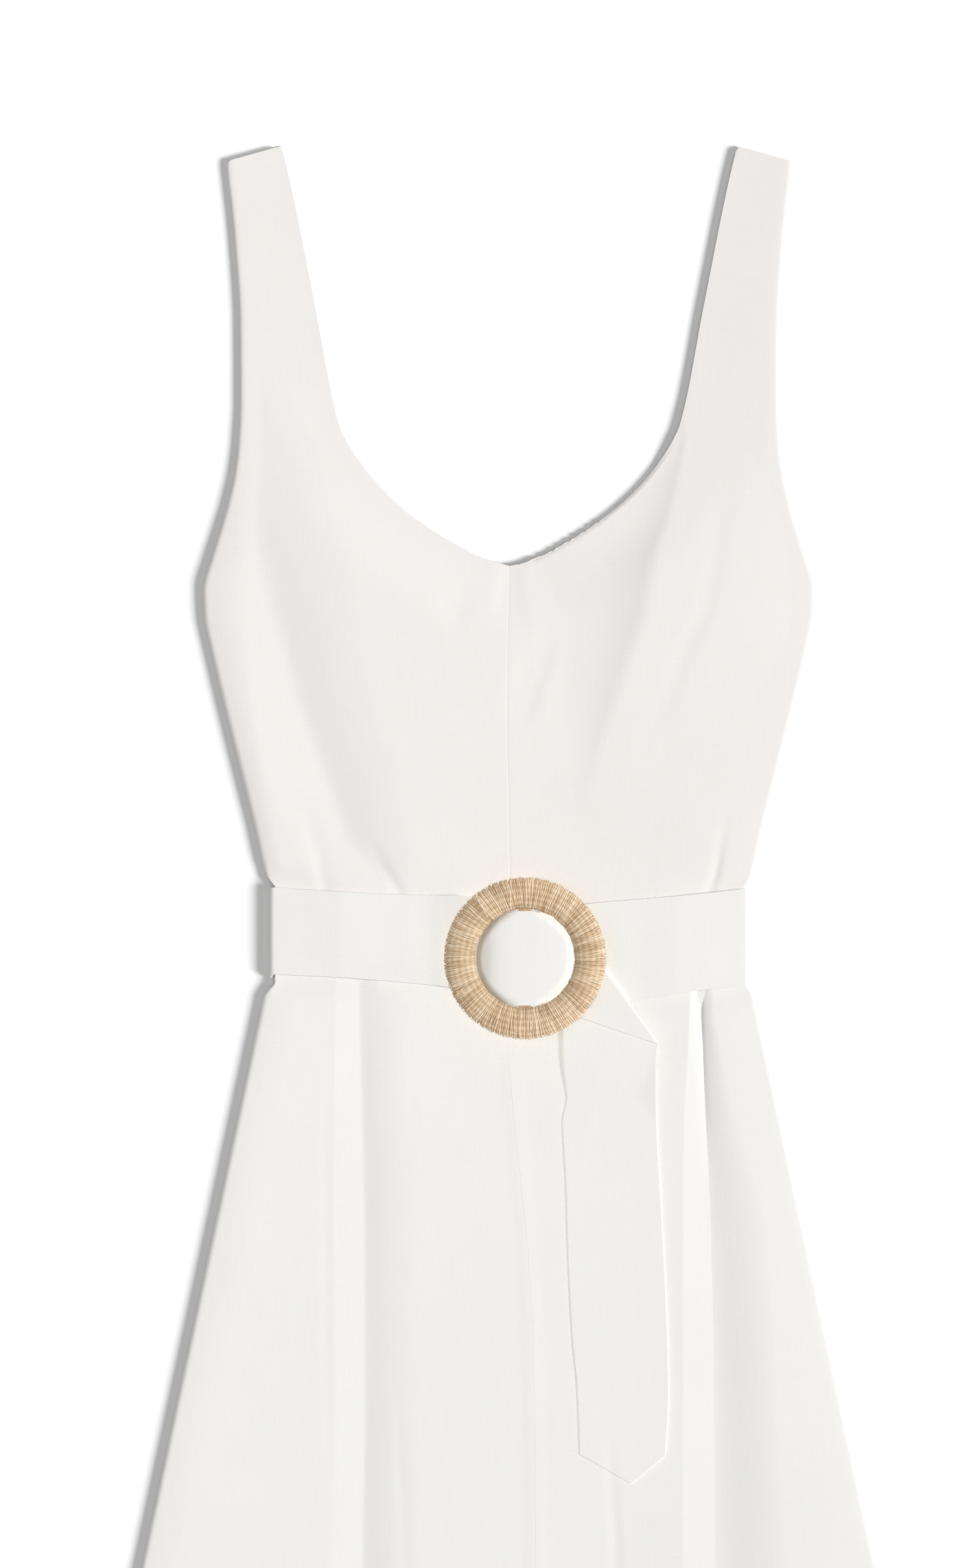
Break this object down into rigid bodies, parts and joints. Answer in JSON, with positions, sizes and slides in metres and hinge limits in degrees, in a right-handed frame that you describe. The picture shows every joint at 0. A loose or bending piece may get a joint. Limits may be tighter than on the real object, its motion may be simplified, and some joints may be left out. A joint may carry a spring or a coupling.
{
  "type": "linen dress",
  "caption": "Sleeveless linen dress laid flat, with a scooped neck, an A-line skirt and a belt through a jute-wrapped ring buckle.",
  "frame": {"origin": "on the surface the dress lies on, under the middle of its outline", "axes": "+X across the dress to the right of the picture, +Y up it from the hem to the shoulders, +Z off the surface"},
  "size_m": [0.6132, 1.2701, 0.0218],
  "materials": {
    "linen": "plain-woven off-white linen",
    "belt_linen": "plain-woven off-white linen, stiffened",
    "jute": "ring wrapped in natural jute yarn"
  },
  "bodies": {
    "root": {"back_bodice": "linen", "back_skirt": "linen", "front_bodice_left": "linen", "front_bodice_right": "linen", "front_skirt_left": "linen", "front_skirt_right": "linen", "belt_band": "belt_linen", "belt_end": "belt_linen", "ring_buckle": "jute"}
  },
  "joints": []
}
